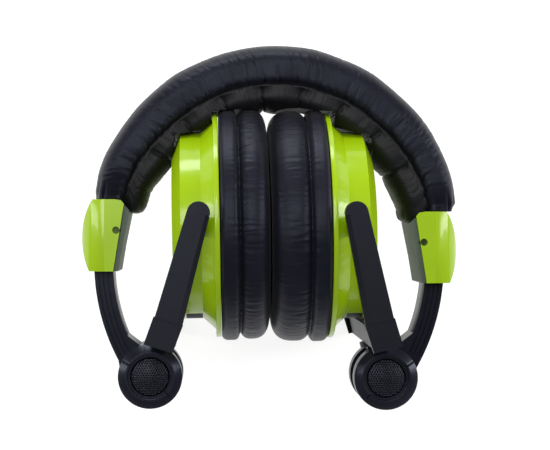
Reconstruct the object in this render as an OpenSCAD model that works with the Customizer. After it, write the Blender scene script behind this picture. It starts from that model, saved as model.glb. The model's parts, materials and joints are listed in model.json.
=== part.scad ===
// Folding over-ear headset, lying flat with its cups folded up inside the headband.
// X runs across the headset, Y runs up to the crown of the headband, Z is the depth of the headset.
// Each side is drawn once, for the left, and mirrored for the right.

/* [Part] */
// Which sub-part to draw

/* [Headband] */
// Outside radius of the padded headband
band_outer_r = 77.3; // [77:0.1:79]
// Radius of the seam between the outer cover and the inner cushion
band_seam_r = 62; // [61.5:0.1:62.3]
// Inside radius of the inner cushion at the crown
band_inner_r = 50; // [49:0.5:52]
// Depth of the headband
band_w = 38; // [34:1:42]
// Radius of the round edges of the headband
band_edge_r = 8; // [5:0.5:9]
// Thickness of the spring steel strip
strip_t = 1.2; // [0.8:0.1:1.2]
// Depth of the spring steel strip
strip_w = 20; // [14:1:22]

/* [Clamps] */
// Height of a band clamp
clamp_h = 29.4; // [28:0.1:31]
// Depth of a band clamp
clamp_d = 32; // [30:1:36]

/* [Sliders and hubs] */
// Width of a slider arm
arm_w = 7.7; // [7:0.1:7.7]
// Depth of a slider arm
arm_d = 16; // [14:0.5:16]
// Radius of the hub that the yoke folds on
hub_r = 13.2; // [12.8:0.1:13.3]
// Half of the depth of a hub
hub_half = 13; // [12:0.5:14]
// Radius of the pimpled hub cap
cap_r = 8; // [7:0.5:8.5]

/* [Yokes] */
// Distance from the fold pin to the cup pivots
yoke_len = 65; // [65:0.5:67]
// Width of a yoke strap
strap_w = 8.9; // [8:0.1:9.5]
// Half of the depth over both straps
yoke_half = 53.2; // [53.2:0.1:54.5]

/* [Cups] */
// Radius of the cup drum
drum_r = 39; // [38:0.5:39]
// Depth of the cup from its back face to the flange face
cup_depth = 19; // [19:0.5:20]
// Radius of the cup flange
flange_r = 47; // [46:0.5:47]
// Thickness of the cup flange
flange_t = 2.1; // [2:0.1:2.6]
// Radius of an ear pad
pad_r = 48.3; // [47.5:0.1:48.5]
// Radius of the opening for the ear
ear_r = 27; // [24:1:29]
// Depth of the left ear pad as it lies pressed on the right one
left_pad_t = 20.2; // [18:0.1:20.2]
// Depth of the right ear pad as it lies pressed on the left one
right_pad_t = 23.6; // [20:0.1:23.6]

/* [Hidden] */

$fn = 96;
e = 0.01;             // overlap that makes a cut or a union clean
run = 0.05;           // radial clearance of a running fit
gap = 0.3;            // clearance round a soft piece
seat = 0.02;          // clearance between two fixed faces

// places, from the point midway between the cup centres
mid_z = yoke_half;                // height of the middle plane above the rest surface
shift = [1.6, 1.2];               // brings the bounding box centre to X = Y = 0
band_c = [-0.2, -2.5];            // centre of the headband arc
left_hub = [-51.8, -62.2];
right_hub = [45.4, -63.2];
left_lean = 16.8;                 // lean of the yoke from the Y axis
right_lean = 13.4;
cup_lean = 1.1;                   // both cups lean the same way
left_reach = 19.3;                // from a hub out to its slider shank
right_reach = 20.8;
left_clamp = [left_hub[0] - left_reach, 10.5]; // middle of the slider bore at the top of the clamp
right_clamp = [right_hub[0] + right_reach, 5.5];

black = [0.06, 0.06, 0.065];
soft = [0.04, 0.04, 0.042];
lime = [0.62, 0.83, 0.05];
steel = [0.7, 0.7, 0.72];

module in_place() { translate([shift[0], shift[1], mid_z]) children(); }

// A side piece: drawn for the left about its own point, mirrored for the right.
module side_at(p, right) {
    in_place() translate([p[0], p[1], 0]) mirror([right ? 1 : 0, 0, 0]) children();
}

// ---- headband ----

// Cross-section of a headband layer from radius a to radius b, round on its outer or inner edge.
module layer_section(a, b, edge, outward) {
    half = band_w / 2;
    middle = outward ? b - edge : a + edge;
    intersection() {
        translate([a, -half]) square([b - a, band_w]);
        union() {
            translate([outward ? a - e : middle, -half])
                square([outward ? middle - a + e : b - middle + e, band_w]);
            translate([a - 1, -half + edge]) square([b - a + 2, band_w - 2 * edge]);
            for (s = [-1, 1]) translate([middle, s * (half - edge)]) circle(edge);
        }
    }
}

// Everything above the clamps, as a flat outline.
module above_clamps() {
    reach = 100;      // past the headband on every side
    inner = 25;       // from a clamp to where its edge ends inside the arch
    polygon([[left_clamp[0] - reach, left_clamp[1] + gap], [left_clamp[0] + inner, left_clamp[1] + gap],
        [right_clamp[0] - inner, right_clamp[1] + gap], [right_clamp[0] + reach, right_clamp[1] + gap],
        [right_clamp[0] + reach, reach], [left_clamp[0] - reach, reach]]);
}

module band_ring() {
    in_place() intersection() {
        translate([band_c[0], band_c[1], 0]) rotate_extrude($fn = 144) children();
        linear_extrude(band_w + 2, center = true) above_clamps();
    }
}

strip_c = [-3.0, band_c[1]];  // centre of the spring strip's arc
strip_r = 63.8;       // radius of its middle
strip_in_clamp = 7;   // length of strip held in each clamp

// The spring strip's arc, larger all round by grow.
module strip_arc(grow = 0) {
    in_place() translate([strip_c[0], strip_c[1], 0]) rotate_extrude($fn = 144)
        translate([strip_r - strip_t / 2 - grow, -strip_w / 2 - grow])
            square([strip_t + 2 * grow, strip_w + 2 * grow]);
}

module headband_cover() {
    color(soft) difference() {
        band_ring() layer_section(band_seam_r + gap / 2, band_outer_r, band_edge_r, true);
        strip_arc(gap);
    }
}

module headband_cushion() {
    end_r = 70;       // the cushion thins towards its ends along a wider arc
    end_drop = 30;
    cup_clear = 0.9;
    color(soft) difference() {
        band_ring() layer_section(band_inner_r, band_seam_r - gap / 2, band_edge_r - 3, false);
        in_place() {
            translate([band_c[0], band_c[1] - end_drop, -band_w])
                cylinder(r = end_r, h = 2 * band_w, $fn = 144);
            // hollows pressed by the folded cups
            cushion_hollow(pad_r + cup_clear, -24.6 - flange_t, 22.2 + flange_t);
            cushion_hollow(drum_r + flare_w + cup_clear, -31.0, 28.6);
            cushion_hollow(drum_r + cup_clear, -43.6, 41.2);
        }
        strip_arc(gap);
    }
}

// A hollow of radius r across the arch, from one X place to another.
module cushion_hollow(r, from, to) {
    translate([from, 0, 0]) rotate([0, 90, 0]) cylinder(r = r, h = to - from, $fn = 144);
}

module spring_strip() {
    color(steel) {
        intersection() {
            strip_arc();
            in_place() linear_extrude(band_w, center = true) above_clamps();
        }
        in_place() for (end = [[-1, left_clamp[1]], [1, right_clamp[1]]])
            translate([strip_c[0] + end[0] * strip_x(end[1]) - strip_t / 2, end[1] - strip_in_clamp,
                -strip_w / 2])
                cube([strip_t, strip_in_clamp + gap + 0.1, strip_w]);
    }
}

// X distance of the strip from its arc's centre at the height y of a clamp's top.
function strip_x(y) = sqrt(pow(strip_r, 2) - pow(y + gap - strip_c[1], 2));

// ---- clamp; its origin is the middle of the slider bore at the top face ----

// Outline of a clamp in plan: the outer side bows out, the inner side slopes in towards the arm.
module clamp_outline(inset = 0) {
    bow_r = 30;       // radius of the outer side
    bow_x = -8.7;     // its furthest point out
    difference() {
        polygon([[-14, 0], [-14, -clamp_h], [6.6 - inset, -clamp_h], [8.3 - inset, -19],
            [11.2 - inset, -4.6], [7.6 - inset, -0.4], [5, 0]]);
        difference() {
            translate([-30, -clamp_h - 5]) square([30, clamp_h + 10]);
            translate([bow_x + bow_r + inset, -0.54 * clamp_h]) circle(bow_r, $fn = 200);
        }
    }
}

bore_w = arm_w + 2 * run;
bore_d = arm_d + 2 * run;

// Cross-section of a clamp: deep round corners on the outer side, run down its whole height.
module clamp_bulge() {
    corner = 10;
    half = clamp_d / 2;
    left = -9.2;
    rotate([90, 0, 0]) linear_extrude(clamp_h * 3, center = true) {
        translate([left + corner, -half]) square([30, clamp_d]);
        translate([left, -half + corner]) square([corner + 1, clamp_d - 2 * corner]);
        for (s = [-1, 1]) translate([left + corner, s * (half - corner)]) circle(corner);
    }
}

// The slider bore of a clamp and its wider mouth.
module slider_bore() {
    mouth_h = 10;
    mouth_w = bore_w + 0.9;
    translate([-bore_w / 2, -clamp_h - 1, -bore_d / 2]) cube([bore_w, clamp_h + 2, bore_d]);
    translate([-bore_w / 2, -clamp_h - 1, -bore_d / 2]) cube([mouth_w, mouth_h + 1, bore_d]);
}

module clamp_shell() {
    color(lime) difference() {
        intersection() {
            linear_extrude(clamp_d, center = true) clamp_outline();
            clamp_bulge();
        }
        slider_bore();
        strip_pocket();
        liner_side();
        screw_hole();
    }
}
liner_turn = -9;      // slope of the clamp's inner face
liner_x = 4.3;        // where that face meets the bottom of the clamp

// The pocket for the strip end and, below it, the detent spring.
module strip_pocket() {
    floor_y = -strip_in_clamp - 0.6;
    translate([bore_w / 2 - e, floor_y, -strip_w / 2 - 0.5]) cube([3.4, 1 - floor_y, strip_w + 1]);
    translate([bore_w / 2 - e, floor_y - 7, -5.5]) cube([2.7, 7 + e, 11]);
}

// Everything on the inner side of the joint between shell and inner cover.
module liner_side(back = 0) {
    translate([liner_x + back, -clamp_h - 1, -clamp_d]) rotate([0, 0, liner_turn])
        cube([20, clamp_h + 8, 2 * clamp_d]);
}

screw_at = [5.6, -12.6];
module screw_hole() {
    translate([screw_at[0], screw_at[1], 9]) cylinder(r = 1.0, h = 10, $fn = 32);
    translate([screw_at[0], screw_at[1], clamp_d / 2 - 2.6]) cylinder(r = 1.5, h = 4, $fn = 32);
}

module clamp_liner() {
    color([0.33, 0.42, 0.2]) difference() {
        intersection() {
            linear_extrude(clamp_d - 3, center = true) clamp_outline(0.25);
            clamp_bulge();
            liner_side(run);
        }
        strip_pocket();
        slider_bore();
        translate([screw_at[0], screw_at[1], 5]) cylinder(r = 1.9, h = 14, $fn = 32);
    }
}

module clamp_screw() {
    head_z = clamp_d / 2 - 2.58;
    color(black) translate([screw_at[0], screw_at[1], 0]) difference() {
        union() {
            translate([0, 0, 9.3]) cylinder(r = 0.95, h = head_z - 9.3 + 0.1, $fn = 32);
            translate([0, 0, head_z]) cylinder(r = 1.45, h = 1.2, $fn = 32);
        }
        translate([0, 0, head_z + 0.6]) for (a = [0, 90]) rotate([0, 0, a])
            translate([-0.9, -0.22, 0]) cube([1.8, 0.44, 2]);
    }
}

// Leaf that clicks against the slider, bent between the strip end and the shank.
module detent_spring() {
    color(steel) translate([bore_w / 2 + 0.1, -strip_in_clamp - 7.2, -5]) {
        cube([0.4, 6, 10]);
        cube([2.4, 0.4, 10]);
    }
}

// ---- slider arm; its origin is the hub centre, top is the bend where the straight shank begins ----

arm_r = 82;           // radius of the arm's bow
bend_y = 46.5;        // height of the bend above the hub
shank_len = 17;
groove_w = 0.9;

module arm_bow(reach) {
    bow = 33;         // degrees of the bow below the bend
    translate([arm_r - reach, bend_y, 0]) rotate([0, 0, 180])
        rotate_extrude(angle = bow, $fn = 180) translate([arm_r - arm_w / 2, -arm_d / 2])
            square([arm_w, arm_d]);
}

// Grooves between the lengthwise ribs, on both faces of the arm.
module arm_grooves(reach) {
    pitch = 1.9;
    deep = 0.9;
    for (s = [-1, 1], x = [-pitch, 0, pitch])
        translate([arm_r - reach, bend_y, s * arm_d / 2]) rotate([0, 0, 183])
            rotate_extrude(angle = 24, $fn = 180) translate([arm_r + x - groove_w / 2, -deep])
                square([groove_w, 2 * deep]);
}

tongue_half = 5.1;    // half of the thickness of the knuckle's tongue
slot_half = tongue_half + run;
tongue_r = 9;
web_from = 103;       // directions between which the hub has no slot
web_to = 255;
pin_r = 3;            // fold pin

module slider_arm(reach) {
    color(black) difference() {
        union() {
            difference() {
                union() {
                    arm_bow(reach);
                    translate([-reach - arm_w / 2, bend_y, -arm_d / 2]) cube([arm_w, shank_len, arm_d]);
                    // flare into the hub
                    linear_extrude(arm_d, center = true)
                        polygon([[-16, 22], [-10.6, 17.4], [-3.6, 12], [-8, -6], [-12.6, 3]]);
                }
                cylinder(r = hub_r - 2, h = 4 * hub_half, center = true);
                arm_grooves(reach);
            }
            hub_barrel();
        }
        hub_slot();
        cylinder(r = pin_r + run, h = 4 * hub_half, center = true, $fn = 48);
    }
}

face_t = 2;           // how far the rings stand in from the hub's faces

module hub_barrel() {
    cylinder(r = hub_r, h = 2 * (hub_half - face_t), center = true);
}

// The slot that the knuckle swings in.
module hub_slot() {
    cylinder(r = tongue_r + 0.4, h = 2 * slot_half, center = true);
    linear_extrude(2 * slot_half, center = true) polygon(concat([[0, 0]],
        [for (a = [web_from : -8 : web_to - 360]) 40 * [cos(a), sin(a)]]));
}

slits = [149, -44];   // directions of the two slits in a ring

// Bevelled ring on the hub's face, with a groove round the cap.
module hub_ring() {
    rim = 1.3;
    top = 3.4;
    color(black) translate([0, 0, hub_half - face_t + seat]) difference() {
        union() {
            cylinder(r = hub_r, h = rim);
            translate([0, 0, rim]) cylinder(r1 = hub_r, r2 = cap_r + 2.2, h = top - rim);
        }
        translate([0, 0, -1]) cylinder(r = cap_r + 0.1, h = 6);
        translate([0, 0, top - 1.6]) cylinder(r = cap_r + 1.2, h = 6);
        for (a = slits) rotate([0, 0, a]) translate([0, -0.25, rim]) cube([20, 0.5, 4]);
    }
}

module hub_cap() {
    dome_r = 24;
    color([0.1, 0.1, 0.1]) translate([0, 0, hub_half - 1.9]) difference() {
        union() {
            cylinder(r = cap_r, h = 2.0);
            intersection() {
                cylinder(r = cap_r, h = 6);
                translate([0, 0, 3.6 - dome_r]) sphere(dome_r);
            }
        }
        translate([0, 0, -1]) cylinder(r = 5.2, h = 1.9);
    }
}

module hub_caps() {
    hub_cap();
    mirror([0, 0, 1]) hub_cap();
}

module fold_pin() {
    color(steel) {
        cylinder(r = pin_r, h = 2 * (hub_half - 2), center = true, $fn = 48);
        for (s = [-1, 1]) translate([0, 0, s * (hub_half - 1.58)])
            cylinder(r = 5, h = 0.8, center = true, $fn = 48);
    }
}

// ---- knuckle and yoke; origin at the hub centre, Y along the stem to the cup pivots ----

stem_r = 2.5;
stem_from = 9.8;      // inner end of the stem pin
head_r = 4;           // head of the stem pin
head_seat = 2.3;      // depth of its seat in the crossbar
bar_from = 15.6;      // near face of the yoke's crossbar
bar_to = 24.6;        // far face
bar_half_w = 4.6;

module knuckle() {
    color(black) difference() {
        union() {
            cylinder(r = tongue_r, h = 2 * tongue_half, center = true);
            translate([-4, 0, -tongue_half]) cube([8, 14.6, 2 * tongue_half]);
            translate([0, 13.6, 0]) rotate([-90, 0, 0]) cylinder(r = 6.4, h = 1.9, $fn = 64);
        }
        cylinder(r = pin_r + run, h = 4 * hub_half, center = true, $fn = 48);
        translate([0, stem_from, 0]) rotate([-90, 0, 0]) cylinder(r = stem_r, h = 10, $fn = 48);
    }
}

module stem_pin() {
    from = stem_from + 0.2;
    color(steel) translate([0, from, 0]) rotate([-90, 0, 0]) {
        cylinder(r = stem_r, h = bar_to - from - 2, $fn = 48);
        translate([0, 0, bar_to - from - 2.2]) cylinder(r = head_r, h = 1.6, $fn = 48);
    }
}

strap_t = 4.5;
strap_end = 4.8;      // length of a strap past its pivot
flare = 2.2;          // how much wider a strap is at its foot

foot_top = bar_from + 11.2;
foot_step = 0.8;      // how far a foot stands back from the face of its strap

// Outline of a strap above its foot, wider towards the crossbar.
module strap_outline() {
    tip = yoke_len + strap_end;
    half = strap_w / 2;
    polygon([[-half, foot_top], [-half, tip], [half, tip], [half + flare, foot_top]]);
    translate([0, tip]) circle(half);
}

// Outline of the wide block that joins a strap to the crossbar.
module foot_outline() {
    half = strap_w / 2;
    polygon([[-half - 1.1, bar_from], [-half - 0.5, foot_top + e], [half + flare + 0.2, foot_top + e],
        [half + flare - 0.6, bar_from]]);
}

// Cut for the long bevel along a strap's pad-side edge.
module strap_bevel() {
    tip = yoke_len + strap_end;
    bevel_w = 1.6;
    slope = atan2(flare, tip - bar_from);
    translate([strap_w / 2 - bevel_w, tip, yoke_half]) rotate([0, 0, slope])
        rotate([0, 45, 0]) translate([0, -80, 0]) cube([8, 80, 8]);
}

module yoke() {
    color(black) difference() {
        union() {
            translate([-bar_half_w, bar_from, -yoke_half + 1])
                cube([2 * bar_half_w, bar_to - bar_from, 2 * yoke_half - 2]);
            for (m = [0, 1]) mirror([0, 0, m]) difference() {
                translate([0, 0, yoke_half - strap_t]) {
                    linear_extrude(strap_t) strap_outline();
                    linear_extrude(strap_t - foot_step) foot_outline();
                }
                strap_bevel();
            }
        }
        // stem bore and the seat of its head
        translate([0, bar_from - 1, 0]) rotate([-90, 0, 0]) cylinder(r = stem_r + run, h = 20, $fn = 48);
        translate([0, bar_to - head_seat, 0]) rotate([-90, 0, 0]) cylinder(r = head_r + 0.1, h = 5, $fn = 48);
        // blind seats of the pivot studs
        for (s = [-1, 1]) translate([0, yoke_len, s * (yoke_half - strap_t)])
            cylinder(r = stud_r, h = 2 * stud_seat, center = true, $fn = 48);
    }
}

stud_seat = 2.6;      // depth that a stud is pressed into its strap
stud_r = 2;
module pivot_studs() {
    from = drum_r + 0.6;
    to = yoke_half - strap_t + stud_seat - 0.05;
    color(steel) for (s = [-1, 1]) translate([0, yoke_len, s * (from + to) / 2])
        cylinder(r = stud_r, h = to - from, center = true, $fn = 48);
}

// ---- cup; origin at its pivot, Z along the cup's axis to the ear, Y along the pivots ----

flange_z = 9.6;                       // flange face ahead of the pivots
back_z = flange_z - cup_depth;
ring_z = flange_z - flange_t;
wall = 2;
chamfer = 3.6;        // height of the slope round the cup's back
chamfer_w = 8.8;      // and its width
flare_h = 5.2;        // height of the slope under the flange
flare_w = 4.8;        // and its width
baffle_z = 2.2;       // back face of the baffle
baffle_t = 2.2;
screw_angles = [30 : 120 : 270];
screw_ring_r = 32;    // baffle screws

module cup_shell() {
    color(lime) difference() {
        union() {
            translate([0, 0, back_z]) cylinder(r1 = drum_r - chamfer_w, r2 = drum_r, h = chamfer);
            translate([0, 0, back_z + chamfer - e])
                cylinder(r = drum_r, h = cup_depth - flange_t - chamfer + e);
            translate([0, 0, ring_z - flare_h]) cylinder(r1 = drum_r, r2 = drum_r + flare_w, h = flare_h);
            pivot_bosses();
        }
        translate([0, 0, back_z + wall])
            cylinder(r1 = drum_r - chamfer_w - 1, r2 = drum_r - wall, h = chamfer);
        translate([0, 0, back_z + wall + chamfer - e]) cylinder(r = drum_r - wall, h = 30);
        for (s = [-1, 1]) rotate([s * 90, 0, 0]) translate([0, 0, 30])
            cylinder(r = stud_r + run, h = 30, $fn = 48);
        insert_cut(0);
    }
    screw_posts();
}

// Bosses that the pivot studs run in, from the drum out to just short of the straps.
module pivot_bosses() {
    from = drum_r - wall - 1;
    for (s = [-1, 1]) rotate([s * 90, 0, 0]) translate([0, 0, from])
        cylinder(r = 3.8, h = yoke_half - strap_t - gap - from, $fn = 48);
}

// Posts for the baffle screws.
module screw_posts() {
    from = back_z + wall + chamfer - 0.4;
    color(lime) for (a = screw_angles) rotate([0, 0, a]) translate([screw_ring_r, 0, from]) difference() {
        cylinder(r = 2.6, h = baffle_z - from - 0.05, $fn = 32);
        translate([0, 0, 2]) cylinder(r = 1.2, h = 10, $fn = 32);
    }
}

// The notch in the drum for the cable entry, smaller by inset.
module insert_cut(inset) {
    depth = 2.8;
    half = 14.6;
    height = 6.75;
    translate([-drum_r - 1, -half + inset, baffle_z - 0.05 - height + inset])
        cube([depth + 1 - inset, 2 * (half - inset), height - 2 * inset]);
}

jack_r = 1.75;
module cable_insert(bored) {
    socket_l = 8;
    color(black) difference() {
        union() {
            intersection() {
                insert_cut(0.05);
                translate([0, 0, back_z]) cylinder(r = drum_r, h = cup_depth);
            }
            translate([-drum_r + 2.6, 0, -1]) rotate([0, 90, 0])
                cylinder(r = 3.1, h = socket_l - 2.6, $fn = 48);
        }
        if (bored) translate([-drum_r - 2, 0, -1]) rotate([0, 90, 0])
            cylinder(r = jack_r, h = 20, $fn = 48);
    }
}

module flange_ring() {
    color(lime) translate([0, 0, ring_z]) difference() {
        cylinder(r = flange_r, h = flange_t);
        translate([0, 0, -1]) cylinder(r = drum_r - wall, h = flange_t + 2);
    }
}

module baffle() {
    color(black) translate([0, 0, baffle_z]) difference() {
        cylinder(r = drum_r - wall - 0.1, h = baffle_t);
        translate([0, 0, -1]) cylinder(r = 24, h = 5);
        for (a = screw_angles) rotate([0, 0, a]) translate([screw_ring_r, 0, -1])
            cylinder(r = 1.3, h = 5, $fn = 32);
        // vents round the driver
        for (a = [12 : 30 : 342]) rotate([0, 0, a]) translate([28.5, 0, -1])
            cylinder(r = 1, h = 5, $fn = 16);
    }
}

module baffle_screws() {
    color(steel) for (a = screw_angles) rotate([0, 0, a])
        translate([screw_ring_r, 0, baffle_z + baffle_t + seat]) difference() {
        union() {
            translate([0, 0, -6]) cylinder(r = 1.15, h = 6.1, $fn = 32);
            cylinder(r = 2.2, h = 1.2, $fn = 32);
        }
        translate([-1.5, -0.3, 0.6]) cube([3, 0.6, 1]);
    }
}

module driver_frame() {
    color(black) translate([0, 0, baffle_z]) difference() {
        union() {
            translate([0, 0, 2.25]) cylinder(r = 25, h = 1.6);
            translate([0, 0, -3]) cylinder(r = 23.9, h = 6);
        }
        translate([0, 0, -1.6]) cylinder(r = 22.5, h = 8);
        translate([0, 0, -4]) cylinder(r = 9, h = 5);
    }
}

module driver_magnet() {
    color(steel) translate([0, 0, baffle_z - 6.2]) {
        cylinder(r = 12, h = 3.1);
        cylinder(r = 8.9, h = 4.2);
    }
}

module diaphragm() {
    color([0.75, 0.7, 0.55]) translate([0, 0, baffle_z - 0.9]) rotate_extrude()
        polygon([[0, 2.0], [6, 1.6], [9, 0.6], [15, 1.8], [22.3, 0.9],
            [22.3, 1.2], [15, 2.1], [9, 0.9], [6, 1.9], [0, 2.3]]);
}

module grille() {
    color(black) translate([0, 0, baffle_z + 3.9]) difference() {
        cylinder(r = 25, h = 0.8);
        for (r = [5 : 5 : 20], a = [0 : 300 / r : 359])
            rotate([0, 0, a]) translate([r, 0, -1]) cylinder(r = 1.1, h = 3, $fn = 12);
    }
}

// Ring that holds the pad's skirt: flush in the mouth of the drum, on feet that stand on the baffle.
module pad_ring() {
    ring_t = 1.4;
    top = flange_z - seat;
    feet_from = baffle_z + baffle_t + seat;
    color(black) translate([0, 0, top - ring_t]) difference() {
        cylinder(r = drum_r - wall - run, h = ring_t);
        translate([0, 0, -1]) cylinder(r = 30.5, h = 4);
    }
    color(black) for (a = [0 : 120 : 240]) rotate([0, 0, a]) translate([34.5, 0, feet_from])
        cylinder(r = 1.5, h = top - ring_t - feet_from + e, $fn = 32);
}

module ear_pad(t) {
    face_r = 6.5;     // round edges at the ear
    back_r = 2;       // round edge at the flange
    z0 = flange_z + gap;
    z1 = flange_z + t;
    color(soft) rotate_extrude($fn = 120) hull() {
        translate([pad_r - back_r, z0 + back_r]) circle(back_r, $fn = 24);
        translate([pad_r - face_r - 0.8, z1 - face_r]) circle(face_r, $fn = 48);
        translate([ear_r + face_r, z1 - face_r]) circle(face_r, $fn = 48);
        translate([ear_r + 1, z0]) square([2, 2]);
    }
}

// ---- sides ----

module clamp_frame(right) { side_at(right ? right_clamp : left_clamp, right) children(); }
module hub_frame(right) { side_at(right ? right_hub : left_hub, right) children(); }
module stem_frame(right) {
    hub_frame(right) rotate([0, 0, right ? -right_lean : -left_lean]) children();
}
module cup_frame(right) {
    p = right ? right_hub + yoke_len * [-sin(right_lean), cos(right_lean)]
        : left_hub + yoke_len * [sin(left_lean), cos(left_lean)];
    in_place() translate([p[0], p[1], 0]) rotate([0, 0, cup_lean]) mirror([right ? 1 : 0, 0, 0])
        rotate([0, 90, 0]) rotate([0, 0, 90]) children();
}

module left_clamp_shell() { clamp_frame(false) clamp_shell(); }
module left_clamp_liner() { clamp_frame(false) clamp_liner(); }
module left_clamp_screw() { clamp_frame(false) clamp_screw(); }
module left_detent_spring() { clamp_frame(false) detent_spring(); }
module left_slider_arm() { hub_frame(false) slider_arm(left_reach); }
module left_hub_ring_front() { hub_frame(false) hub_ring(); }
module left_hub_ring_rear() { hub_frame(false) mirror([0, 0, 1]) hub_ring(); }
module left_hub_caps() { hub_frame(false) hub_caps(); }
module left_fold_pin() { hub_frame(false) fold_pin(); }
module left_knuckle() { stem_frame(false) knuckle(); }
module left_stem_pin() { stem_frame(false) stem_pin(); }
module left_yoke() { stem_frame(false) yoke(); }
module left_pivot_studs() { stem_frame(false) pivot_studs(); }
module left_cup_shell() { cup_frame(false) cup_shell(); }
module left_flange_ring() { cup_frame(false) flange_ring(); }
module left_cable_insert() { cup_frame(false) cable_insert(true); }
module left_baffle() { cup_frame(false) baffle(); }
module left_baffle_screws() { cup_frame(false) baffle_screws(); }
module left_driver_frame() { cup_frame(false) driver_frame(); }
module left_driver_magnet() { cup_frame(false) driver_magnet(); }
module left_diaphragm() { cup_frame(false) diaphragm(); }
module left_grille() { cup_frame(false) grille(); }
module left_pad_ring() { cup_frame(false) pad_ring(); }
module left_ear_pad() { cup_frame(false) ear_pad(left_pad_t); }
module right_clamp_shell() { clamp_frame(true) clamp_shell(); }
module right_clamp_liner() { clamp_frame(true) clamp_liner(); }
module right_clamp_screw() { clamp_frame(true) clamp_screw(); }
module right_detent_spring() { clamp_frame(true) detent_spring(); }
module right_slider_arm() { hub_frame(true) slider_arm(right_reach); }
module right_hub_ring_front() { hub_frame(true) hub_ring(); }
module right_hub_ring_rear() { hub_frame(true) mirror([0, 0, 1]) hub_ring(); }
module right_hub_caps() { hub_frame(true) hub_caps(); }
module right_fold_pin() { hub_frame(true) fold_pin(); }
module right_knuckle() { stem_frame(true) knuckle(); }
module right_stem_pin() { stem_frame(true) stem_pin(); }
module right_yoke() { stem_frame(true) yoke(); }
module right_pivot_studs() { stem_frame(true) pivot_studs(); }
module right_cup_shell() { cup_frame(true) cup_shell(); }
module right_flange_ring() { cup_frame(true) flange_ring(); }
module right_cable_insert() { cup_frame(true) cable_insert(false); }
module right_baffle() { cup_frame(true) baffle(); }
module right_baffle_screws() { cup_frame(true) baffle_screws(); }
module right_driver_frame() { cup_frame(true) driver_frame(); }
module right_driver_magnet() { cup_frame(true) driver_magnet(); }
module right_diaphragm() { cup_frame(true) diaphragm(); }
module right_grille() { cup_frame(true) grille(); }
module right_pad_ring() { cup_frame(true) pad_ring(); }
module right_ear_pad() { cup_frame(true) ear_pad(right_pad_t); }

headband_cover();
headband_cushion();
spring_strip();
left_clamp_shell();
left_clamp_liner();
left_clamp_screw();
left_detent_spring();
left_slider_arm();
left_hub_ring_front();
left_hub_ring_rear();
left_hub_caps();
left_fold_pin();
left_knuckle();
left_stem_pin();
left_yoke();
left_pivot_studs();
left_cup_shell();
left_flange_ring();
left_cable_insert();
left_baffle();
left_baffle_screws();
left_driver_frame();
left_driver_magnet();
left_diaphragm();
left_grille();
left_pad_ring();
left_ear_pad();
right_clamp_shell();
right_clamp_liner();
right_clamp_screw();
right_detent_spring();
right_slider_arm();
right_hub_ring_front();
right_hub_ring_rear();
right_hub_caps();
right_fold_pin();
right_knuckle();
right_stem_pin();
right_yoke();
right_pivot_studs();
right_cup_shell();
right_flange_ring();
right_cable_insert();
right_baffle();
right_baffle_screws();
right_driver_frame();
right_driver_magnet();
right_diaphragm();
right_grille();
right_pad_ring();
right_ear_pad();
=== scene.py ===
"""A folding over-ear headset, folded, lying on a pale floor.

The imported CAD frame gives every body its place. The headband's cover and cushion, the ear pads and
the hub caps are modelled here in place of their plain CAD solids, and piping and stitches are added
in the seams. All other parts are the CAD nodes themselves, with materials and, on the larger ones,
rounded edges.
"""
import json
import math

import bmesh
import bpy
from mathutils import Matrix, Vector, noise


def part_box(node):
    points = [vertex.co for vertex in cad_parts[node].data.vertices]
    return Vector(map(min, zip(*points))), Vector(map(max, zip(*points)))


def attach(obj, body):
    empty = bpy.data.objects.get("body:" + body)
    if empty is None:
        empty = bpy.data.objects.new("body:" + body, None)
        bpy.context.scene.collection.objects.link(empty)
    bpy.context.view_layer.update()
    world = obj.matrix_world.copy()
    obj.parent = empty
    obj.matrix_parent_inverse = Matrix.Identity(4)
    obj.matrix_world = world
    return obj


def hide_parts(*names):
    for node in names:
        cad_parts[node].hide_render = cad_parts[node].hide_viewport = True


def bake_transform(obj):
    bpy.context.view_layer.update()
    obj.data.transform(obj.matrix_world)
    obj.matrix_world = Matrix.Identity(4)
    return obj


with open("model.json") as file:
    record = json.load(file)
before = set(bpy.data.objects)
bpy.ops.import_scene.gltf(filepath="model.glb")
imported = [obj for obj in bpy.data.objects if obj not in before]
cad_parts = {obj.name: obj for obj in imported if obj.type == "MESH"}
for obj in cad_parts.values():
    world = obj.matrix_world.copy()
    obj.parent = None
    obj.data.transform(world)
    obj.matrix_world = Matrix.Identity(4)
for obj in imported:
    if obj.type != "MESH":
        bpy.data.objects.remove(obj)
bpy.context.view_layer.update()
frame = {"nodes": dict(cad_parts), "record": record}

MM = 0.001
TO_MM = 1000.0
SIDES = {"left": 1.0, "right": -1.0}  # the sign of X from the cup towards its ear pad
NODES = frame["nodes"]
JOINTS = {j["name"]: j for j in frame["record"]["behaviour"]["joints"]}

# ---- places, from the frame ----
cover_low, cover_high = (Vector(v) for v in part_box("headband_cover"))
BAND_MID_Z = (cover_low.z + cover_high.z) / 2
BAND_HALF = (cover_high.z - cover_low.z) / 2
PIVOTS = {s: Vector(JOINTS[f"{s}_cup_tilt"]["pos_m"]) for s in SIDES}
CLAMPS = {s: Vector(JOINTS[f"{s}_band_flex"]["pos_m"]) for s in SIDES}

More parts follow.
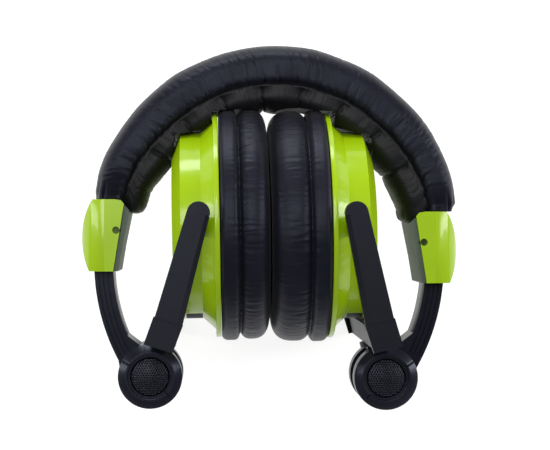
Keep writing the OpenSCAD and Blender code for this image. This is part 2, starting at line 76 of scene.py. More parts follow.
# ---- headband ----
BAND_OUTER = 77.3 * MM  # radius of the CAD cover's outer face
SEAM_R = 60.3 * MM  # radius of the seam between cover and cushion, at the crown
END_SEAM_R = 62.9 * MM  # and at the clamps
SEAM_TO_CREST = 7.3 * MM  # from the seam to where the cover is fattest
INNER_R = 49.3 * MM  # radius of the cushion's inner face, at the crown
END_INNER_R = {"left": 54.4 * MM, "right": 52.2 * MM}  # and at the clamps
DRAW_IN = {"left": 0.7 * MM, "right": 2.2 * MM}  # of the cover's outer edge at the clamps
DRAW_IN_LENGTH = 4.0  # mm of the band over which it is drawn in
ARC = math.radians(163)  # sweep of the headband
MEAN_R = 70  # mm, turns an angle into a length along the band
BULB = 6.0  # mm over which the cushion's ends round in
COVER_END_GAP = 0.3 * MM  # between the CAD cover and the clamps
CLAMP_GAP = 0.12 * MM  # between the modelled band and the clamps
# Near its inner edge the band reaches further down, past the clamp's cut corner:
# (inside this radius, over this distance, by this much)
HANGS = ((66.0 * MM, 3.1 * MM, 1.6 * MM), (END_SEAM_R - 0.2 * MM, 3.2 * MM, 4.2 * MM))
HALF_WIDTHS = {  # at the crown, and at the clamps
    "cover": (BAND_HALF - 0.2 * MM, 15.6 * MM),
    "cushion": (BAND_HALF - 1.6 * MM, 14.6 * MM),
    "piping": (BAND_HALF - 4.3 * MM, 11.2 * MM),
}
TUCK_SPACING = 20.0  # mm between the tucks that cross the cushion
BAND_ROWS = 290  # of points along each half of the headband
CROWN_TUCK = 4  # of them lie under the other half
CROWN_TUCK_DEPTH = 0.5  # mm
LOOP_POINTS = 128  # round the headband
PIPING_R = 0.4 * MM

# ---- cups ----
CUP_LEAN = math.radians(1.1)  # of the ear axis from X
FLANGE_FACE = 9.6 * MM  # from the cup's pivot along the ear axis
PAD_R = 48.3 * MM  # outer radius of an ear pad
PAD_SEAM = FLANGE_FACE + 7.75 * MM  # from the pivot, where skirt and cushion meet
PADS = {"left": (20.0 * MM, 1.3), "right": (23.4 * MM, 4.9)}  # depth, and the wrinkles' seed
PAD_COLUMNS = 720  # of points round each ear pad
STITCHES = 150  # round each ear pad
# The headband's cushion keeps clear of the flange and of the drum: the radius about the cups' axis,
# and how far from its pivot, towards the other cup, that part of a cup starts
FLANGE_CLEAR_R = 49.4 * MM
FLANGE_START = 3 * MM
DRUM_CLEAR_R = 40.8 * MM
DRUM_START = -12 * MM
CLEAR_SLOPE = 4 * MM  # over which the cleared radius rises at a start
CONTACT_X = PIVOTS["left"].x + FLANGE_FACE + 20.2 * MM  # where the two ear pads meet

# ---- hub caps ----
CAP_PITCH = 1.05 * MM  # between pimples
PIMPLE = 0.5 * MM  # height of a pimple
CAP_RINGS = 90  # of points on each cap
CAP_COLUMNS = 240
CAP_DEPTH = 3.6 * MM  # from the CAD cap's outer face to the back of the modelled one

# ---- widths of the rounded edges on CAD nodes, in mm ----
BEVELS = {"yoke": 1.2, "slider_arm": 0.5, "clamp_shell": 1.5, "clamp_liner": 0.6, "cup_shell": 0.5,
          "flange_ring": 0.4, "hub_ring_front": 0.3, "hub_ring_rear": 0.3, "knuckle": 0.4,
          "cable_insert": 0.3}

# ---- camera and lights ----
FOCUS = Vector((1.6 * MM, 1.2 * MM, BAND_MID_Z))
CAMERA_DISTANCE = 0.6
CAMERA_SIDE = math.radians(2.5)
LENS = 93.5
SENSOR = 36
FLOOR_REACH = 3.0
LIGHTS = (  # name, place and size in m, power in W
    ("front", (-0.12, 0.22, 0.95), (0.5, 0.3), 3.2),
    ("top", (-0.1, 0.8, 0.24), (0.5, 0.22), 3.6),
    ("left", (-0.75, 0.12, 0.4), (0.12, 1.0), 2.8),
    ("right", (0.75, 0.15, 0.4), (0.12, 1.0), 4.2),
)


# ---- curves and noise ----
def smooth(t):
    t = min(max(t, 0.0), 1.0)
    return t * t * (3 - 2 * t)


def lerp(a, b, t):
    return a + (b - a) * t


def rough_noise(x, y, z, seed=0.0):
    return noise.noise(Vector((x + seed, y - seed, z + 2 * seed)))


def thin_lines(value):
    """1 where the noise value is 0, falling quickly to 0 on both sides."""
    return max(0.0, 1 - 3.2 * abs(value))


def ridge(x, y, seed=0.0):
    """A crease pattern: 1 along thin wandering lines, falling to 0 between them."""
    return thin_lines(rough_noise(x, y, 0.37, seed))


# ---- mesh helpers ----
def new_object(name, verts, faces, material, smooth_shade=True):
    mesh = bpy.data.meshes.new(name)
    mesh.from_pydata([tuple(v) for v in verts], [], faces)
    mesh.validate()
    obj = bpy.data.objects.new(name, mesh)
    bpy.context.scene.collection.objects.link(obj)
    for polygon in mesh.polygons:
        polygon.use_smooth = smooth_shade
    mesh.materials.append(material)
    return obj


def grid_faces(rows, columns, wrap_rows=False):
    """Faces between rows of points, where each row is a closed loop."""
    faces = []
    for i in range(rows if wrap_rows else rows - 1):
        below = (i + 1) % rows
        for j in range(columns):
            k = (j + 1) % columns
            faces.append((i * columns + j, i * columns + k, below * columns + k, below * columns + j))
    return faces


def capped_tube_faces(rows, columns):
    faces = grid_faces(rows, columns)
    faces.append(tuple(reversed(range(columns))))
    faces.append(tuple((rows - 1) * columns + j for j in range(columns)))
    return faces


def face_outwards(obj):
    mesh = bmesh.new()
    mesh.from_mesh(obj.data)
    bmesh.ops.recalc_face_normals(mesh, faces=mesh.faces)
    mesh.to_mesh(obj.data)
    mesh.free()


def roll_loop(inner, outer, half, crest, powers, count):
    """Points (r, z, nr, nz) round a stuffed roll from radius inner to outer, fattest at radius crest.

    powers are the squareness of its inner and its outer half: 2 is round, 5 is nearly square.
    (nr, nz) is the outward normal.
    """
    points = []
    for i in range(count):
        a = 2 * math.pi * i / count
        c, s = math.cos(a), math.sin(a)
        width, power = (outer - crest, powers[1]) if c > 0 else (crest - inner, powers[0])
        points.append((crest + width * math.copysign(abs(c) ** (2 / power), c),
                       half * math.copysign(abs(s) ** (2 / power), s)))
    loop = []
    for i, (r, z) in enumerate(points):
        before, after = points[i - 1], points[(i + 1) % count]
        tr, tz = after[0] - before[0], after[1] - before[1]
        size = math.hypot(tr, tz) or 1.0
        loop.append((r, z, tz / size, -tr / size))
    return loop


def tube_along(name, points, radius, material, sides=8):
    """A round tube with flat ends along a row of points."""
    verts = []
    last = len(points) - 1
    for i, p in enumerate(points):
        along = (points[min(i + 1, last)] - points[max(i - 1, 0)]).normalized()
        side = along.cross(Vector((0, 0, 1))).normalized()
        up = side.cross(along)
        for k in range(sides):
            a = 2 * math.pi * k / sides
            verts.append(p + radius * (math.cos(a) * side + math.sin(a) * up))
    obj = new_object(name, verts, capped_tube_faces(len(points), sides), material)
    face_outwards(obj)
    return obj


def stitches(name, points, normals, length, radius, material):
    """Short raised threads, one at each point along a seam, joined as one mesh."""
    rings, sides = 5, 6
    verts, faces = [], []
    for i in range(1, len(points) - 1):
        along = (points[i + 1] - points[i - 1]).normalized()
        out = normals[i].normalized()
        side = along.cross(out).normalized()
        base = len(verts)
        for k in range(rings):
            t = -1 + 2 * k / (rings - 1)
            r = radius * max(0.25, math.sqrt(max(0.0, 1 - t * t)))
            p = points[i] + along * (t * length / 2) + out * radius * 0.7 * (1 - t * t)
            for m in range(sides):
                a = 2 * math.pi * m / sides
                verts.append(p + r * (math.cos(a) * out + math.sin(a) * side))
        faces += [tuple(base + v for v in f) for f in capped_tube_faces(rings, sides)]
    obj = new_object(name, verts, faces, material)
    face_outwards(obj)
    return obj


# ---- materials ----
WHITE = (1, 1, 1, 1)
COOL = (0.74, 0.8, 1, 1)  # the bluish gloss of the black parts


def node_material(name):
    material = bpy.data.materials.new(name)
    material.use_nodes = True
    tree = material.node_tree
    shader = tree.nodes["Principled BSDF"]
    return material, tree, shader


def noise_node(tree, scale, detail=4.0, stretch=None):
    coords = tree.nodes.new("ShaderNodeTexCoord")
    out = coords.outputs["Object"]
    if stretch:
        mapping = tree.nodes.new("ShaderNodeMapping")
        mapping.inputs["Scale"].default_value = stretch
        tree.links.new(out, mapping.inputs["Vector"])
        out = mapping.outputs["Vector"]
    texture = tree.nodes.new("ShaderNodeTexNoise")
    texture.inputs["Scale"].default_value = scale
    texture.inputs["Detail"].default_value = detail
    tree.links.new(out, texture.inputs["Vector"])
    return texture.outputs["Fac"]


def voronoi_node(tree, scale):
    coords = tree.nodes.new("ShaderNodeTexCoord")
    texture = tree.nodes.new("ShaderNodeTexVoronoi")
    texture.inputs["Scale"].default_value = scale
    tree.links.new(coords.outputs["Object"], texture.inputs["Vector"])
    return texture.outputs["Distance"]


def ramp(tree, source, low, high, at=(0.3, 0.7)):
    """A colour that runs from low to high as source goes across at."""
    node = tree.nodes.new("ShaderNodeValToRGB")
    node.color_ramp.elements[0].position = at[0]
    node.color_ramp.elements[1].position = at[1]
    node.color_ramp.elements[0].color = (*low, 1)
    node.color_ramp.elements[1].color = (*high, 1)
    tree.links.new(source, node.inputs["Fac"])
    return node.outputs["Color"]


def value_range(tree, source, low, high):
    node = tree.nodes.new("ShaderNodeMapRange")
    node.inputs["To Min"].default_value = low
    node.inputs["To Max"].default_value = high
    tree.links.new(source, node.inputs["Value"])
    return node.outputs["Result"]


def bump(tree, shader, height, strength, distance, under=None):
    """A bump on the shader, on top of the bump under it."""
    node = tree.nodes.new("ShaderNodeBump")
    node.inputs["Strength"].default_value = strength
    node.inputs["Distance"].default_value = distance
    tree.links.new(height, node.inputs["Height"])
    if under:
        tree.links.new(under, node.inputs["Normal"])
    tree.links.new(node.outputs["Normal"], shader.inputs["Normal"])
    return node.outputs["Normal"]


def leatherette(name, dark, light, grain_scale, grain, rough, sheen, tint=COOL):
    """Coated cloth: a fine pebble grain, with slightly uneven colour and gloss."""
    material, tree, shader = node_material(name)
    tree.links.new(ramp(tree, noise_node(tree, 70, 6), dark, light), shader.inputs["Base Color"])
    tree.links.new(value_range(tree, noise_node(tree, 120, 4), *rough), shader.inputs["Roughness"])
    soft = bump(tree, shader, noise_node(tree, 420, 4), 0.2, 0.25 * MM)
    bump(tree, shader, voronoi_node(tree, grain_scale), grain, 0.1 * MM, soft)
    shader.inputs["Sheen Weight"].default_value = sheen
    shader.inputs["Sheen Roughness"].default_value = 0.4
    shader.inputs["Specular IOR Level"].default_value = 0.23
    shader.inputs["Specular Tint"].default_value = tint
    return material


def moulded(name, dark, light, rough, coat=0.0, grain_scale=2200, grain=0.12, shine=0.5, tint=WHITE):
    """Moulded plastic with slight colour drift, fine texture and uneven gloss."""
    material, tree, shader = node_material(name)
    tree.links.new(ramp(tree, noise_node(tree, 35, 5), dark, light), shader.inputs["Base Color"])
    tree.links.new(value_range(tree, noise_node(tree, 90, 6), *rough), shader.inputs["Roughness"])
    flow = bump(tree, shader, noise_node(tree, 55, 2), 0.08, 0.5 * MM)
    bump(tree, shader, noise_node(tree, grain_scale, 2), grain, 0.04 * MM, flow)
    shader.inputs["Specular IOR Level"].default_value = shine
    shader.inputs["Specular Tint"].default_value = tint
    shader.inputs["Coat Weight"].default_value = coat
    shader.inputs["Coat Roughness"].default_value = 0.08
    return material


def brushed(name, dark, light, rough):
    """Metal with streaks that run along Z."""
    material, tree, shader = node_material(name)
    streaks = noise_node(tree, 400, 4, stretch=(1, 1, 12))
    tree.links.new(ramp(tree, streaks, dark, light), shader.inputs["Base Color"])
    tree.links.new(value_range(tree, streaks, *rough), shader.inputs["Roughness"])
    shader.inputs["Metallic"].default_value = 1.0
    bump(tree, shader, streaks, 0.15, 0.03 * MM)
    return material


def grey(v, tint=0.0):
    return (v, v, v * (1 + tint))


BLUE_BLACK = (grey(0.0032, 1.0), grey(0.006, 1.0))
NEUTRAL_BLACK = (grey(0.003, 0.4), grey(0.0055, 0.5))
LIME = ((0.31, 0.495, 0.002), (0.335, 0.525, 0.004))
GREY_GREEN = ((0.075, 0.1, 0.085), (0.1, 0.125, 0.105))
SCREW = ((0.03, 0.045, 0.015), (0.07, 0.09, 0.03))
MATERIALS = {
    "band_leatherette": leatherette("band_leatherette", *BLUE_BLACK, 1700, 0.35, (0.4, 0.52), 0.04),
    "cushion_leatherette": leatherette("cushion_leatherette", *NEUTRAL_BLACK, 1700, 0.35, (0.42, 0.54), 0.03,
                                       tint=WHITE),
    "pad_leatherette": leatherette("pad_leatherette", *BLUE_BLACK, 2300, 0.25, (0.38, 0.5), 0.04),
    "lime_gloss": moulded("lime_gloss", *LIME, (0.2, 0.28), coat=0.3, grain=0.05, shine=0.3),
    "grey_green": moulded("grey_green", *GREY_GREEN, (0.42, 0.52), shine=0.25),
    "black_plastic": moulded("black_plastic", *BLUE_BLACK, (0.26, 0.38), shine=0.22, tint=COOL),
    "black_satin": moulded("black_satin", *BLUE_BLACK, (0.24, 0.34), shine=0.35, tint=COOL),
    "yoke_black": moulded("yoke_black", *NEUTRAL_BLACK, (0.36, 0.48), grain_scale=3000, grain=0.3,
                          shine=0.24, tint=COOL),
    "cap_textured": moulded("cap_textured", *NEUTRAL_BLACK, (0.27, 0.35), shine=0.42, tint=COOL),
    "insert_black": moulded("insert_black", grey(0.005), grey(0.008), (0.5, 0.62), shine=0.12),
    "steel": brushed("steel", (0.42, 0.42, 0.44), (0.62, 0.62, 0.64), (0.22, 0.38)),
    "dark_screw": brushed("dark_screw", *SCREW, (0.3, 0.45)),
    "film": moulded("film", (0.5, 0.45, 0.3), (0.62, 0.56, 0.4), (0.2, 0.3), coat=0.3),
}
# Near-black stitch thread, darker than the leather: partly the thread's own colour, partly painted shade for
# the groove of the ear pads' seam.
SEAM_THREAD_AND_SHADE = moulded("seam_thread_and_painted_shade", grey(0.002), grey(0.004, 0.1), (0.6, 0.8), grain=0.4, shine=0.15)


# ---- headband: its arc ----
BAND_MID_Y = cover_high.y - BAND_OUTER  # where the crown touches the CAD cover's top
END_RISE = CLAMPS["left"].y + COVER_END_GAP - BAND_MID_Y
BAND_C = Vector((cover_low.x + math.sqrt(BAND_OUTER ** 2 - END_RISE ** 2), BAND_MID_Y, BAND_MID_Z))


def end_angle(radius, side):
    """Angle on the band's arc, from +X, where it meets the clamp on that side."""
    drop = sum(amount * smooth((start - radius) / span) for start, span, amount in HANGS)
    y = CLAMPS[side].y + CLAMP_GAP - drop - BAND_C.y
    a = math.asin(min(1.0, y / radius))
    return math.pi - a if side == "left" else a


def band_point(t, radius, z):
    """A point on the headband, t from 0 at the left clamp to 1 at the right one."""
    a = lerp(end_angle(radius, "left"), end_angle(radius, "right"), t)
    return Vector((BAND_C.x + radius * math.cos(a), BAND_C.y + radius * math.sin(a), BAND_MID_Z + z))


def nearer_side(t):
    return "left" if t < 0.5 else "right"


def towards_end(t, reach=11):
    """0 along the headband, rising to 1 at each clamp over reach degrees."""
    return 1 - smooth(min(t, 1 - t) * math.degrees(ARC) / reach)


def seam_radius(t):
    """Radius of the seam between cover and cushion: it runs outwards towards the clamps."""
    return lerp(SEAM_R, END_SEAM_R, towards_end(t, 48))


def bend_with_clamp(obj):
    """Bakes the piece's transform into its mesh; it is not bent with the clamp."""
    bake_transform(obj)


def band_half(name, side, loop_at, wrinkle, material, shape=None):
    """Half of a headband layer, from its clamp to just past the crown."""
    verts = []
    crown_row = BAND_ROWS - 1 - CROWN_TUCK
    for i in range(BAND_ROWS):
        t = 0.5 * i / crown_row
        t = t if side == "left" else 1 - t
        tuck = CROWN_TUCK_DEPTH * smooth((i - crown_row) / CROWN_TUCK)
        along = t * ARC * MEAN_R
        for r, z, nr, nz in loop_at(t):
            d = (wrinkle(t, along, r * TO_MM, z * TO_MM, nz) - tuck) * MM
            p = band_point(t, r + d * nr, z + d * nz)
            verts.append(shape(p) if shape else p)
    obj = new_object(name, verts, capped_tube_faces(BAND_ROWS, LOOP_POINTS), material)
    face_outwards(obj)
    bend_with_clamp(obj)
    return obj


# ---- headband: wrinkles, as depths in mm of noise in cells of some mm ----
def across_band(r, z):
    """Place in mm round the band's section, different on its front and rear faces."""
    return math.copysign(r - 60, z) + 40 * (z > 0)


def creases(along, across, seed):
    """Fine crosswise creases in stretched leatherette, in mm: they come and go in patches."""
    patch = smooth(0.5 + 1.1 * rough_noise(along / 17, across / 15, 0.2, seed))
    slant = along + 0.35 * across
    fine = rough_noise(slant / 1.1, across / 6, 0.4, seed + 3)
    folds = ridge(slant / 2.7, across / 9, seed + 7) ** 2
    return (0.05 + 0.15 * patch) * fine - (0.03 + 0.13 * patch) * folds


def clamp_pleats(t, across, seed):
    """Tucks that fan out from the clamp, each with its own length, from 0 to 1."""
    place = across / 2.9 + 0.3 * rough_noise(across / 4, 0.5, 0.5, seed)
    reach = 9 + 6 * rough_noise(round(place) * 0.73, 0.5, 0.5, seed + 1)
    off = abs(place - round(place))
    return towards_end(t, reach) * max(0.0, 1 - off / 0.36) ** 1.5


def cover_wrinkle(t, along, r, z, nz):
    """Puckers and tucks at the seam, soft dents, creases, and pleats at the clamps."""
    across = across_band(r, z)
    seam = math.exp(-max(0.0, r - seam_radius(t) * TO_MM) / 3.2)
    pucker = 0.55 * seam * rough_noise(along / 2.3, across / 8, 3.3)
    tuck = -0.9 * seam * ridge(along / 9, 0, 5.2) ** 3
    dents = 0.42 * rough_noise(along / 13, across / 12, 1.7)
    pleats = 1.7 * (1 - seam) * abs(nz) * clamp_pleats(t, across, 8.8)
    fine = creases(along, across, 11) * (0.3 + 0.7 * abs(nz)) * (1 - 0.7 * towards_end(t, 9))
    return pucker + tuck + dents + 1.25 * fine - pleats


def cushion_wrinkle(t, along, r, z, nz):
    """Deep tucks across the cushion, puckers at the seam, soft dents, creases and pleats."""
    across = across_band(r, z)
    depth = max(-2.0, seam_radius(t) * TO_MM - r)
    thickness = (seam_radius(t) - cushion_inner(t)) * TO_MM
    wander = 0.12 * rough_noise(along / 30, 0, 0, 2.2) + 0.04 * rough_noise(r / 3, z / 3, 0)
    off = abs(((along / TUCK_SPACING + wander) % 1.0) - 0.5) * TUCK_SPACING  # from the nearest tuck
    tuck = 0.85 * math.exp(-(off / 0.9) ** 2) + 0.9 * math.exp(-(off / 4.5) ** 2)
    tuck *= smooth((depth - 0.3) / 2.0) * min(1.0, thickness / 10) * (1 - towards_end(t, 26))
    seam = math.exp(-depth / 3.0)
    pucker = 0.35 * seam * rough_noise(along / 2.4, across / 8, 7.3)
    dents = 0.3 * rough_noise(along / 9, across / 9, 6.1)
    pleats = 0.5 * (1 - seam) * clamp_pleats(t, across, 4.4)
    return pucker + dents + 0.8 * creases(along, across, 23) - tuck - pleats


# ---- headband: its two layers ----
def cover_loop(t):
    """Section of the outer cover, gathered in at the clamps."""
    gather = towards_end(t)
    seam = seam_radius(t)
    from_end = min(t, 1 - t) * ARC * BAND_OUTER * TO_MM
    draw_in = DRAW_IN[nearer_side(t)] * (1 - smooth(from_end / DRAW_IN_LENGTH))
    half = lerp(*HALF_WIDTHS["cover"], gather)
    outer = lerp(BAND_OUTER - 0.3 * MM, BAND_OUTER - 0.9 * MM, gather) - draw_in
    return roll_loop(seam + 0.1 * MM, outer, half, seam + SEAM_TO_CREST, (7.0, 2.7), LOOP_POINTS)


def cushion_inner(t):
    """Inner radius of the cushion along the band: thinner towards its ends."""
    from_crown = abs(t - 0.5) * math.degrees(ARC)
    return lerp(INNER_R, END_INNER_R[nearer_side(t)], smooth((from_crown - 50) / 28))


def cushion_loop(t):
    """Section of the inner cushion, whose ends round in like a bulb."""
    gather = towards_end(t)
    share = min(1.0, min(t, 1 - t) * ARC * MEAN_R / BULB)  # of the bulb, from the clamp
    swell = math.sqrt(max(0.0, 1 - (1 - share) ** 2))
    half = lerp(*HALF_WIDTHS["cushion"], gather) * lerp(0.7, 1.0, swell)
    seam = seam_radius(t)
    inner = lerp(seam - 5.2 * MM, cushion_inner(t), swell)
    outer = seam + 1.3 * MM  # under the cover
    return roll_loop(inner, outer, half, lerp(inner, outer, 0.56), (2.5, 7.0), LOOP_POINTS)


def between_cups(x, start):
    """1 at an x from start inside one cup's pivot to start inside the other's, falling to 0 at its ends."""
    left, right = PIVOTS["left"].x + start, PIVOTS["right"].x - start
    return smooth((x - left) / CLEAR_SLOPE) * smooth((right - x) / CLEAR_SLOPE)


def cup_envelope(x):
    """Radius about the cups' axis that the folded cups fill at x."""
    pad_edges = 3.5 * MM * math.exp(-((x - CONTACT_X) / (4.5 * MM)) ** 2)  # rounded, where they meet
    flange = FLANGE_CLEAR_R * between_cups(x, FLANGE_START) - pad_edges
    return max(flange, DRUM_CLEAR_R * between_cups(x, DRUM_START))


def press_back(p):
    """The point p moved out from the band's centre until it clears the folded cups."""
    pivot_y = (PIVOTS["left"].y + PIVOTS["right"].y) / 2
    out = Vector((p.x - BAND_C.x, p.y - BAND_C.y, 0)).normalized()
    for _ in range(60):
        lack = cup_envelope(p.x) - math.hypot(p.y - pivot_y, p.z - BAND_MID_Z)
        if lack <= 0:
            break
        p = p + out * max(lack * 0.6, 0.05 * MM)
    return p


def build_cover(side):
    cover = band_half(f"headband_cover_{side}", side, cover_loop, cover_wrinkle,
                      MATERIALS["band_leatherette"])
    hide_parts("headband_cover")


def build_cushion(side):
    cushion = band_half(f"headband_cushion_{side}", side, cushion_loop, cushion_wrinkle,
                        MATERIALS["cushion_leatherette"], press_back)
    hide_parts("headband_cushion")


def build_seam_piping(side):
    """Thin piping in the seam, on the front and rear faces."""
    count = 110
    for face, end in ((1, "front"), (-1, "rear")):
        points = []
        for i in range(count):
            t = lerp(0.02, 0.501, i / (count - 1))
            half = lerp(*HALF_WIDTHS["piping"], towards_end(t))
            t = t if side == "left" else 1 - t
            points.append(band_point(t, seam_radius(t), face * half))
        piping = tube_along(f"band_seam_{end}_{side}", points, PIPING_R, MATERIALS["band_leatherette"])
        bend_with_clamp(piping)


def build_headband():
    for side in SIDES:
        build_cover(side)
        build_cushion(side)
        build_seam_piping(side)


# ---- ear pads ----
def skirt_points(base):
    """The skirt, a low roll of its own: (r, u, 0) from the flange to the seam."""
    points = []
    for i in range(31):
        s = i / 30
        fall = (1.6 * abs(2 * s - 1) ** 4 if s < 0.5 else 2.8 * abs(2 * s - 1) ** 5) * MM
        points.append((PAD_R + 0.1 * MM - fall, lerp(base, PAD_SEAM, s), 0.0))
    return points


def cushion_points(face, height):
    """The cushion: it swells up from the seam, then rounds over to its face."""
    crest_r = PAD_R - 0.2 * MM
    crest_u = lerp(PAD_SEAM, face, 0.42)
    start = 0.86  # of the way down the round that the seam cuts off
    back, front = (crest_u - PAD_SEAM) / start, face - crest_u
    points = []
    for i in range(1, 15):
        du = -start * (1 - i / 14)
        rise = (1 - abs(du) ** 3) ** 0.45
        points.append((crest_r - height * (1 - rise), crest_u + du * back, min(1.0, i / 4)))
    for i in range(1, 25):
        a = math.radians(90 * i / 24)
        points.append((crest_r - height * (1 - math.cos(a) ** 0.82),
                       crest_u + front * math.sin(a) ** 0.82, 1.0))
    return points


def opening_points(face, base, outer_r):
    """The pad's face, the round edge of the ear's opening, and the way back to the base."""
    opening_r, edge = 27.5 * MM, 6 * MM
    back = base + 2.3 * MM
    points = [(lerp(outer_r, opening_r + edge, i / 4), face, 1.0) for i in range(1, 5)]
    for i in range(1, 13):
        a = math.radians(90 * i / 12)
        points.append((opening_r + edge * (1 - math.sin(a)), face - edge * (1 - math.cos(a)), 1.0))
    points.append((opening_r + 0.6 * MM, lerp(face - edge, back, 0.5), 1.0))
    points.append((opening_r + 1 * MM, back, 1.0))
    points.append((41.4 * MM, base + 2.2 * MM, 0.0))
    return points


def pad_profile(depth):
    """Outline (r, u) of an ear pad, and how much each point is skirt (0) or cushion (1)."""
    base, face = FLANGE_FACE + 0.35 * MM, FLANGE_FACE + depth
    height = 9.8 * MM
    return [(41.6 * MM, base, 0.0), (PAD_R - 4.2 * MM, base, 0.0), *skirt_points(base),
            *cushion_points(face, height), *opening_points(face, base, PAD_R - 0.2 * MM - height)]


def cup_point(side, u, r, angle):
    """A point of a cup from its place along the ear axis, its radius and its angle round that axis."""
    sign = SIDES[side]
    along = Vector((sign * math.cos(CUP_LEAN), sign * math.sin(CUP_LEAN), 0))
    up = Vector((-math.sin(CUP_LEAN), math.cos(CUP_LEAN), 0))
    return PIVOTS[side] + u * along + r * (math.cos(angle) * up + math.sin(angle) * Vector((0, 0, 1)))


def ring_noise(angle, u, around, along, seed):
    """Noise on the pad's surface, in cells of around by along mm, that meets itself after a full turn."""
    r = PAD_R * TO_MM / around
    return noise.noise(Vector((r * math.cos(angle) + seed, r * math.sin(angle) - seed,
                               u * TO_MM / along + seed)))


def pad_wrinkle(u, angle, kind, seed):
    """Puckers along the skirt seam and fine creases that cross the cushion, in mm."""
    at_seam = math.exp(-abs(u - PAD_SEAM) / (1.9 * MM))
    from_seam = math.exp(-max(0.0, u - PAD_SEAM) / (4.5 * MM))
    pucker = 0.42 * at_seam * ring_noise(angle, u, 1.7, 9, seed)
    patch = smooth(0.5 + 1.1 * ring_noise(angle, u, 16, 14, seed + 2))
    fine = (0.03 + 0.08 * patch + 0.26 * from_seam) * ring_noise(angle, u, 1.3, 10, seed + 5)
    folds = (0.02 + 0.11 * patch) * thin_lines(ring_noise(angle, u, 3.6, 13, seed + 8)) ** 2
    soft = 0.16 * ring_noise(angle, u, 14, 12, seed + 9)
    return pucker + soft * (0.4 + 0.6 * kind) + kind * (fine - folds)


def build_ear_pad(side, depth, seed):
    profile = pad_profile(depth)
    verts = []
    for r, u, kind in profile:
        outside = smooth((r - 33 * MM) / (8 * MM)) * smooth((u - FLANGE_FACE - 1 * MM) / (2 * MM))
        face_fade = 1 - 0.8 * smooth((u - FLANGE_FACE - depth + 2 * MM) / (2 * MM))
        for k in range(PAD_COLUMNS):
            angle = 2 * math.pi * k / PAD_COLUMNS
            d = pad_wrinkle(u, angle, kind, seed) * outside * face_fade * MM
            verts.append(cup_point(side, u, r + d, angle))
    pad = new_object(f"{side}_ear_pad_stitched", verts, grid_faces(len(profile), PAD_COLUMNS, wrap_rows=True),
                     MATERIALS["pad_leatherette"])
    face_outwards(pad)
    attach(pad, f"{side}_cup")
    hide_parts(f"{side}_ear_pad")


def build_pad_stitches(side):
    """Near-black threads deep in the seam between the skirt and the cushion: partly the stitches' own colour,
    partly painted shade that makes the seam groove dark.
    """
    turn = 2 * math.pi / STITCHES
    ring = [cup_point(side, PAD_SEAM, PAD_R - 3.2 * MM, turn * k) for k in range(STITCHES + 2)]
    out = [p - cup_point(side, PAD_SEAM, 0, 0) for p in ring]
    seam_thread_and_painted_shade = stitches(f"{side}_pad_stitches", ring, out, 1.2 * MM, 0.12 * MM, SEAM_THREAD_AND_SHADE)
    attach(seam_thread_and_painted_shade, f"{side}_cup")


# ---- hub caps ----
def pimple_height(x, y, r, cap_r):
    """Height of the pimples at a place on the cap: staggered rows that fade at its edge."""
    row_pitch = CAP_PITCH * 0.866
    row = round(y / row_pitch)
    offset = 0.5 * CAP_PITCH * (row % 2)
    middle_x = round((x - offset) / CAP_PITCH) * CAP_PITCH + offset
    off = math.hypot(x - middle_x, y - row * row_pitch)
    return PIMPLE * smooth(1 - off / (0.42 * CAP_PITCH)) * smooth((cap_r - r) / (0.9 * MM))


def dome_height(edge_z, share):
    """Height of the smooth dome at a share of the cap's radius, with a rounded edge."""
    return edge_z - 1.55 * MM * share ** 2 - 0.5 * MM * smooth((share - 0.94) / 0.06) - 0.2 * MM


def cap_mesh(middle, edge_z, cap_r, face, base):
    """Points and faces of one cap, facing up or down, with the faces counted from base."""
    turn = 2 * math.pi / CAP_COLUMNS
    verts = []
    for i in range(CAP_RINGS + 1):
        r = cap_r * i / CAP_RINGS
        for k in range(CAP_COLUMNS):
            x, y = r * math.cos(turn * k), r * math.sin(turn * k)
            z = dome_height(edge_z, r / cap_r) + pimple_height(x, y, r, cap_r)
            verts.append(middle + Vector((x, y, face * z)))
    for k in range(CAP_COLUMNS):
        x, y = cap_r * math.cos(turn * k), cap_r * math.sin(turn * k)
        verts.append(middle + Vector((x, y, face * (edge_z - CAP_DEPTH))))
    faces = grid_faces(CAP_RINGS + 2, CAP_COLUMNS)
    faces.append(tuple((CAP_RINGS + 1) * CAP_COLUMNS + k for k in range(CAP_COLUMNS)))
    return verts, [tuple(base + v for v in f) for f in faces]


def build_hub_caps(side):
    """Low domes covered with small pimples, on the front and rear of the hub."""
    low, high = (Vector(v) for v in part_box(f"{side}_hub_caps"))
    cap_r = (high.x - low.x) / 2 - 0.05 * MM
    verts, faces = [], []
    for face in (1, -1):
        points, patches = cap_mesh((low + high) / 2, (high.z - low.z) / 2, cap_r, face, len(verts))
        verts += points
        faces += patches
    caps = new_object(f"{side}_hub_caps_pimpled", verts, faces, MATERIALS["cap_textured"])
    face_outwards(caps)
    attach(caps, f"{side}_slider")
    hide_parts(f"{side}_hub_caps")


# ---- CAD nodes ----
def round_edges(obj, width):
    """Merge the flat faces' triangles, then bevel the sharp edges that are left."""
    weld = obj.modifiers.new("weld", "WELD")
    weld.merge_threshold = 0.002 * MM
    flatten = obj.modifiers.new("flats", "DECIMATE")
    flatten.decimate_type = "DISSOLVE"
    flatten.angle_limit = math.radians(0.8)
    bevel = obj.modifiers.new("edges", "BEVEL")
    bevel.width = width
    bevel.segments = 3
    bevel.limit_method = "ANGLE"
    bevel.angle_limit = math.radians(28)
    bevel.use_clamp_overlap = True
    bevel.harden_normals = False


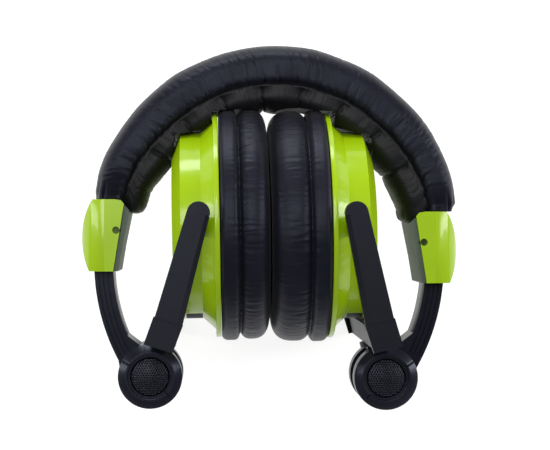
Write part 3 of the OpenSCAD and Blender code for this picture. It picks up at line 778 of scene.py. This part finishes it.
def finish_cad_nodes():
    slots = {s["node"]: s["material_slot"] for s in frame["record"]["subparts"]}
    for name, obj in NODES.items():
        obj.data.materials.clear()
        obj.data.materials.append(MATERIALS[slots[name]])
        kind = name.split("_", 1)[1]  # the name without its side
        if kind in BEVELS:
            round_edges(obj, BEVELS[kind] * MM)


# ---- stage ----
def build_camera():
    data = bpy.data.cameras.new("camera")
    data.lens = LENS
    data.sensor_width = SENSOR
    camera = bpy.data.objects.new("camera", data)
    camera.location = FOCUS + CAMERA_DISTANCE * Vector((-math.sin(CAMERA_SIDE), 0, math.cos(CAMERA_SIDE)))
    camera.rotation_euler = (0, -CAMERA_SIDE, 0)
    bpy.context.scene.collection.objects.link(camera)
    bpy.context.scene.camera = camera


def area_light(name, location, size, power):
    data = bpy.data.lights.new(name, "AREA")
    data.shape = "RECTANGLE"
    data.size = size[0]
    data.size_y = size[1]
    data.energy = power
    light = bpy.data.objects.new(name, data)
    light.location = location
    light.rotation_euler = (FOCUS - Vector(location)).to_track_quat("-Z", "Y").to_euler()
    bpy.context.scene.collection.objects.link(light)


def build_floor():
    """A pale floor that glows a little, so that its shadows stay light."""
    material, tree, shader = node_material("floor")
    tree.links.new(ramp(tree, noise_node(tree, 6, 2), grey(0.34), grey(0.36)), shader.inputs["Base Color"])
    shader.inputs["Roughness"].default_value = 0.9
    shader.inputs["Emission Color"].default_value = WHITE
    shader.inputs["Emission Strength"].default_value = 0.84
    corners = [(x * FLOOR_REACH, y * FLOOR_REACH, 0) for x, y in ((-1, -1), (1, -1), (1, 1), (-1, 1))]
    floor = new_object("floor", corners, [(0, 1, 2, 3)], material, smooth_shade=False)


def build_lights():
    world = bpy.data.worlds.new("world")
    world.use_nodes = True
    world.node_tree.nodes["Background"].inputs["Color"].default_value = WHITE
    world.node_tree.nodes["Background"].inputs["Strength"].default_value = 0.3
    bpy.context.scene.world = world
    for light in LIGHTS:
        area_light(*light)
    bpy.context.scene.view_settings.view_transform = "Standard"


build_camera()
build_headband()
for side_name, (pad_depth, pad_seed) in PADS.items():
    build_ear_pad(side_name, pad_depth, pad_seed)
    build_pad_stitches(side_name)
for side_name in SIDES:
    build_hub_caps(side_name)
finish_cad_nodes()
build_floor()
build_lights()
